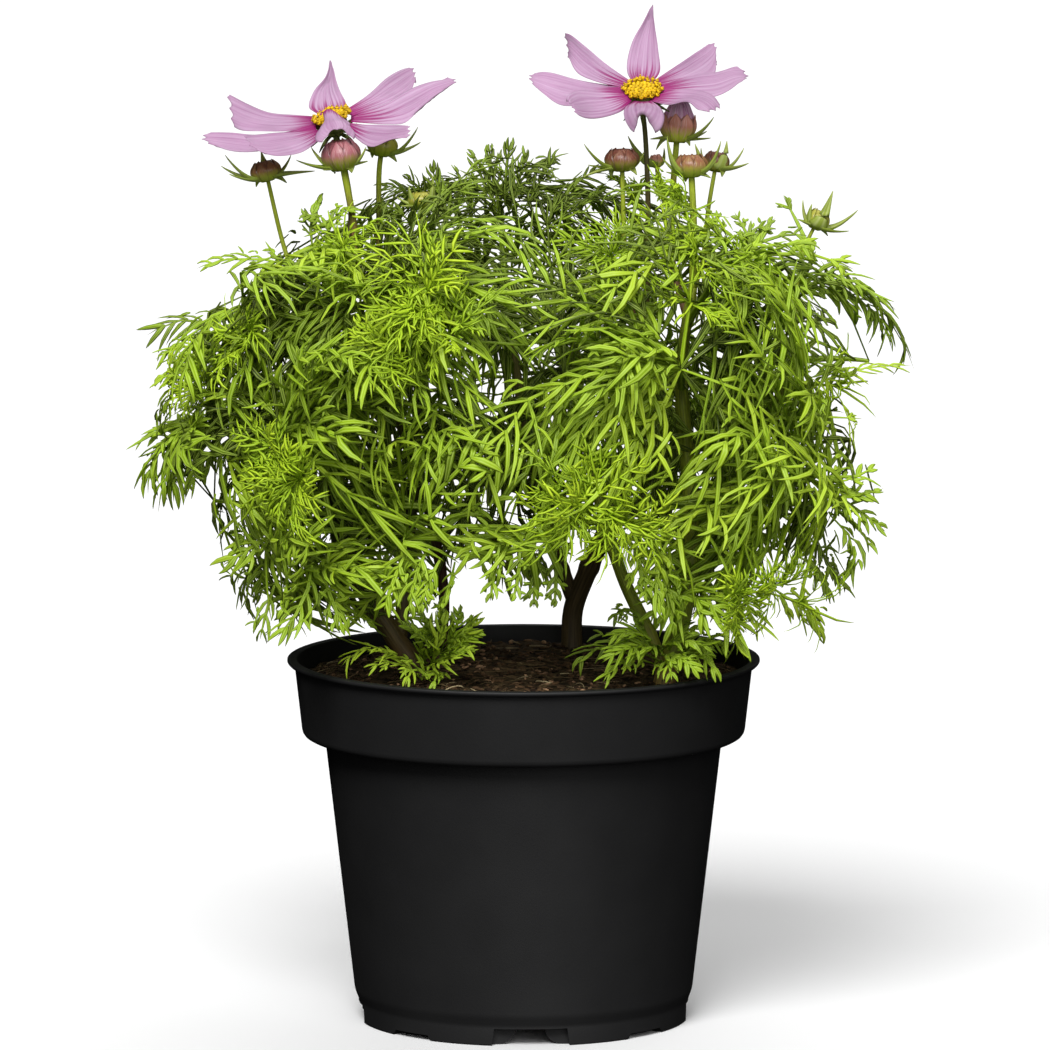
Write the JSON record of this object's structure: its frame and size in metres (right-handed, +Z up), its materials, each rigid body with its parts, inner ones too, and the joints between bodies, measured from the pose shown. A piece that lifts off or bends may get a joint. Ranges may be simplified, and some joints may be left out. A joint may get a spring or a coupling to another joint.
{
  "type": "potted cosmos plant",
  "caption": "Flowering cosmos with feathery leaves, pink daisy-like flowers and buds, growing in a round black nursery pot of soil.",
  "frame": {"origin": "on the pot's axis, at the ground under its foot", "axes": "+Z up along the pot's axis; -Y is the front, the side that the picture looks at; +X to the right of that view"},
  "size_m": [0.279, 0.2307, 0.3642],
  "materials": {
    "black_plastic": "satin injection-moulded black plastic",
    "potting_soil": "moist dark potting soil with bark chips and fibres",
    "stem": "brown to green ribbed stem with swollen nodes",
    "leaf": "fresh green, slightly glossy leaf with pale grooves",
    "petal": "soft lilac-pink petal with darker veins",
    "yellow_disc": "golden florets with dark anthers",
    "calyx_and_stalk": "green bracts on a thin green-brown stalk",
    "bud": "waxy green and pink-brown bud scales"
  },
  "bodies": {
    "root": {"pot": "black_plastic", "soil": "potting_soil", "left_stem": "stem", "left_flower_calyx_and_stalk": "calyx_and_stalk", "left_flower_disc": "yellow_disc", "left_flower_back_petal": "petal", "left_flower_back_right_petal": "petal", "left_flower_right_petal": "petal", "left_flower_front_right_petal": "petal", "left_flower_front_petal": "petal", "left_flower_front_left_petal": "petal", "left_flower_left_petal": "petal", "left_flower_back_left_petal": "petal", "bud_01": "bud", "bud_02": "bud", "bud_04": "bud", "bud_10": "bud", "far_left_leaves": "leaf", "far_left_low_leaves": "leaf", "left_bottom_leaves": "leaf", "left_front_leaves": "leaf", "left_top_leaves": "leaf", "left_centre_top_leaves": "leaf", "left_centre_low_leaves": "leaf", "centre_left_leaves": "leaf", "left_basal_leaves": "leaf", "middle_stem": "stem", "right_flower_calyx_and_stalk": "calyx_and_stalk", "right_flower_disc": "yellow_disc", "right_flower_back_petal": "petal", "right_flower_back_left_petal": "petal", "right_flower_left_petal": "petal", "right_flower_front_left_petal": "petal", "right_flower_front_petal": "petal", "right_flower_front_right_petal": "petal", "right_flower_right_petal": "petal", "right_flower_back_right_petal": "petal", "bud_05": "bud", "top_centre_leaves": "leaf", "back_centre_leaves": "leaf", "back_right_leaves": "leaf", "back_right_low_leaves": "leaf", "right_stem": "stem", "bud_06": "bud", "bud_07": "bud", "bud_08": "bud", "bud_09": "bud", "centre_front_leaves": "leaf", "centre_low_leaves": "leaf", "right_front_leaves": "leaf", "right_top_leaves": "leaf", "right_middle_leaves": "leaf", "far_right_leaves": "leaf", "far_right_low_leaves": "leaf", "right_basal_leaves": "leaf", "back_left_stem": "stem", "bud_03": "bud", "back_left_leaves": "leaf", "back_left_low_leaves": "leaf", "top_left_leaves": "leaf"}
  },
  "joints": []
}
